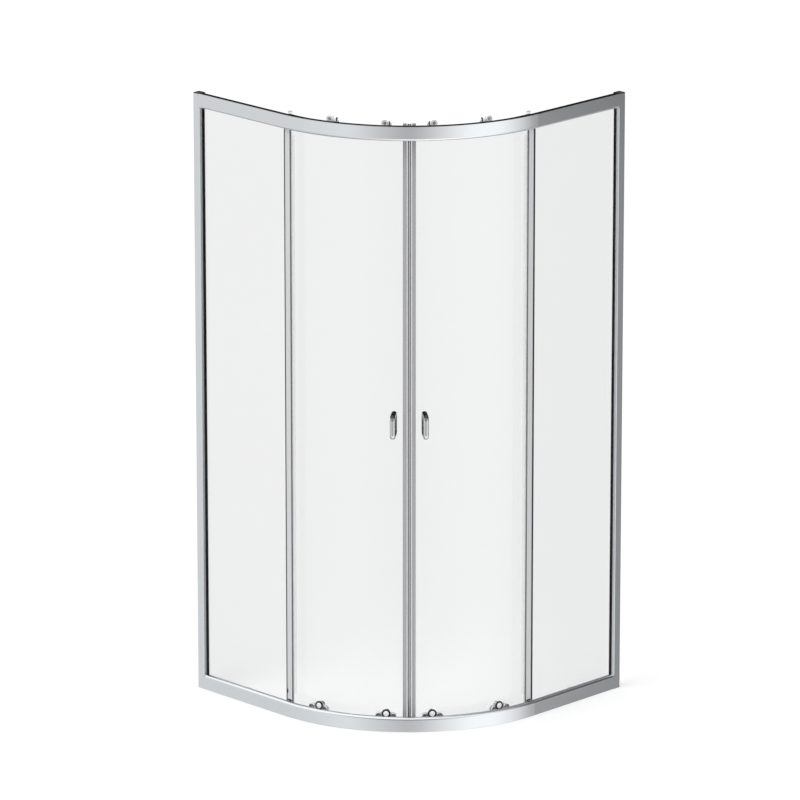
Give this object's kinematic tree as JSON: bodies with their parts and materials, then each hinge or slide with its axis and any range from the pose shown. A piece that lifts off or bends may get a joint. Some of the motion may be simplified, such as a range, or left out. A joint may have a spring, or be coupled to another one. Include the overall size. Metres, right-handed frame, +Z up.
{
  "type": "corner shower enclosure",
  "caption": "Quadrant corner shower enclosure: aluminium frame, fixed glass side panes and curved glass doors that slide on rollers along a bent track.",
  "frame": {"origin": "middle of the square plan, on the shower tray", "axes": "+Z up, -X to the left wall, +Y to the right wall, the bend of the doors towards +X and -Y"},
  "size_m": [0.9, 0.9, 1.8623],
  "materials": {
    "aluminium": "bright anodised extrusion",
    "glass": "clear toughened glass",
    "gasket": "black rubber",
    "seal": "pale translucent PVC",
    "magnet": "dark magnetic rubber",
    "dark_cap": "black moulded plastic",
    "grey_cap": "grey moulded plastic",
    "steel": "stainless steel",
    "chrome": "polished chrome",
    "wheel": "white nylon"
  },
  "bodies": {
    "frame": {"top_rail": "aluminium", "bottom_rail": "aluminium", "rail_gaskets": "gasket", "post_gaskets": "gasket", "edge_gaskets": "gasket", "setting_blocks": "gasket", "corner_blocks": "dark_cap", "rail_screws": "steel", "post_screws": "steel", "post_screw_caps": "grey_cap", "post_end_caps": "dark_cap", "door_stops": "gasket", "wall_profile_left": "aluminium", "wall_profile_right": "aluminium", "frame_post_left": "aluminium", "frame_post_right": "aluminium", "fixed_glass_left": "glass", "fixed_glass_right": "glass", "edge_profile_left": "aluminium", "edge_profile_right": "aluminium", "edge_seal_left": "seal", "edge_seal_right": "seal"},
    "door_left": {"door_glass_left": "glass", "magnet_profile_left": "aluminium", "magnet_holder_left": "seal", "magnet_strip_left": "magnet", "trailing_seal_left": "seal", "handle_outer_left": "chrome", "handle_inner_left": "chrome", "handle_bolts_left": "steel", "top_hangers_left": "chrome", "bottom_yokes_left": "chrome", "roller_bolts_left": "chrome", "roller_caps_left": "chrome", "wheel_axles_left": "steel"},
    "top_wheel_front_left": {"top_wheel_front_left": "wheel"},
    "top_wheel_rear_left": {"top_wheel_rear_left": "wheel"},
    "bottom_wheel_front_lead_left": {"bottom_wheel_front_lead_left": "wheel"},
    "bottom_wheel_front_trail_left": {"bottom_wheel_front_trail_left": "wheel"},
    "bottom_wheel_rear_lead_left": {"bottom_wheel_rear_lead_left": "wheel"},
    "bottom_wheel_rear_trail_left": {"bottom_wheel_rear_trail_left": "wheel"},
    "door_right": {"door_glass_right": "glass", "magnet_profile_right": "aluminium", "magnet_holder_right": "seal", "magnet_strip_right": "magnet", "trailing_seal_right": "seal", "handle_outer_right": "chrome", "handle_inner_right": "chrome", "handle_bolts_right": "steel", "top_hangers_right": "chrome", "bottom_yokes_right": "chrome", "roller_bolts_right": "chrome", "roller_caps_right": "chrome", "wheel_axles_right": "steel"},
    "top_wheel_front_right": {"top_wheel_front_right": "wheel"},
    "top_wheel_rear_right": {"top_wheel_rear_right": "wheel"},
    "bottom_wheel_front_lead_right": {"bottom_wheel_front_lead_right": "wheel"},
    "bottom_wheel_front_trail_right": {"bottom_wheel_front_trail_right": "wheel"},
    "bottom_wheel_rear_lead_right": {"bottom_wheel_rear_lead_right": "wheel"},
    "bottom_wheel_rear_trail_right": {"bottom_wheel_rear_trail_right": "wheel"}
  },
  "joints": [
    {"name": "door_left_slide", "type": "hinge", "parent": "frame", "child": "door_left", "pos_m": [-0.12, 0.198, 0.925], "axis": [0, 0, -1], "range_deg": [0, 22.9]},
    {"name": "top_wheel_front_left_spin", "type": "hinge", "parent": "door_left", "child": "top_wheel_front_left", "pos_m": [0.21891, -0.31956, 1.8523], "axis": [0.599, -0.8007, 0], "continuous": true},
    {"name": "top_wheel_rear_left_spin", "type": "hinge", "parent": "door_left", "child": "top_wheel_rear_left", "pos_m": [0.07005, -0.39591, 1.8523], "axis": [0.3007, -0.9537, 0], "continuous": true},
    {"name": "bottom_wheel_front_lead_left_spin", "type": "hinge", "parent": "door_left", "child": "bottom_wheel_front_lead_left", "pos_m": [0.23667, -0.30368, 0.0393], "axis": [0.6018, -0.7986, 0], "continuous": true},
    {"name": "bottom_wheel_front_trail_left_spin", "type": "hinge", "parent": "door_left", "child": "bottom_wheel_front_trail_left", "pos_m": [0.20153, -0.33016, 0.0393], "axis": [0.6018, -0.7986, 0], "continuous": true},
    {"name": "bottom_wheel_rear_lead_left_spin", "type": "hinge", "parent": "door_left", "child": "bottom_wheel_rear_lead_left", "pos_m": [0.04485, -0.40157, 0.0393], "axis": [0.2079, -0.9781, 0], "continuous": true},
    {"name": "bottom_wheel_rear_trail_left_spin", "type": "hinge", "parent": "door_left", "child": "bottom_wheel_rear_trail_left", "pos_m": [0.00181, -0.41071, 0.0393], "axis": [0.2079, -0.9781, 0], "continuous": true},
    {"name": "door_right_slide", "type": "hinge", "parent": "frame", "child": "door_right", "pos_m": [-0.198, 0.12, 0.925], "axis": [0, 0, 1], "range_deg": [0, 22.9]},
    {"name": "top_wheel_front_right_spin", "type": "hinge", "parent": "door_right", "child": "top_wheel_front_right", "pos_m": [0.31956, -0.21891, 1.8523], "axis": [-0.8007, 0.599, 0], "continuous": true},
    {"name": "top_wheel_rear_right_spin", "type": "hinge", "parent": "door_right", "child": "top_wheel_rear_right", "pos_m": [0.39591, -0.07005, 1.8523], "axis": [-0.9537, 0.3007, 0], "continuous": true},
    {"name": "bottom_wheel_front_lead_right_spin", "type": "hinge", "parent": "door_right", "child": "bottom_wheel_front_lead_right", "pos_m": [0.30368, -0.23667, 0.0393], "axis": [-0.7986, 0.6018, 0], "continuous": true},
    {"name": "bottom_wheel_front_trail_right_spin", "type": "hinge", "parent": "door_right", "child": "bottom_wheel_front_trail_right", "pos_m": [0.33016, -0.20153, 0.0393], "axis": [-0.7986, 0.6018, 0], "continuous": true},
    {"name": "bottom_wheel_rear_lead_right_spin", "type": "hinge", "parent": "door_right", "child": "bottom_wheel_rear_lead_right", "pos_m": [0.40157, -0.04485, 0.0393], "axis": [-0.9781, 0.2079, 0], "continuous": true},
    {"name": "bottom_wheel_rear_trail_right_spin", "type": "hinge", "parent": "door_right", "child": "bottom_wheel_rear_trail_right", "pos_m": [0.41071, -0.00181, 0.0393], "axis": [-0.9781, 0.2079, 0], "continuous": true}
  ],
  "couplings": [
    {"joint": "top_wheel_front_left_spin", "follows": "door_left_slide", "ratio": 61.745},
    {"joint": "top_wheel_rear_left_spin", "follows": "door_left_slide", "ratio": 62.357},
    {"joint": "bottom_wheel_front_lead_left_spin", "follows": "door_left_slide", "ratio": 68.368},
    {"joint": "bottom_wheel_front_trail_left_spin", "follows": "door_left_slide", "ratio": 68.368},
    {"joint": "bottom_wheel_rear_lead_left_spin", "follows": "door_left_slide", "ratio": 68.971},
    {"joint": "bottom_wheel_rear_trail_left_spin", "follows": "door_left_slide", "ratio": 68.971},
    {"joint": "top_wheel_front_right_spin", "follows": "door_right_slide", "ratio": 61.745},
    {"joint": "top_wheel_rear_right_spin", "follows": "door_right_slide", "ratio": 62.357},
    {"joint": "bottom_wheel_front_lead_right_spin", "follows": "door_right_slide", "ratio": 68.368},
    {"joint": "bottom_wheel_front_trail_right_spin", "follows": "door_right_slide", "ratio": 68.368},
    {"joint": "bottom_wheel_rear_lead_right_spin", "follows": "door_right_slide", "ratio": 68.971},
    {"joint": "bottom_wheel_rear_trail_right_spin", "follows": "door_right_slide", "ratio": 68.971}
  ]
}
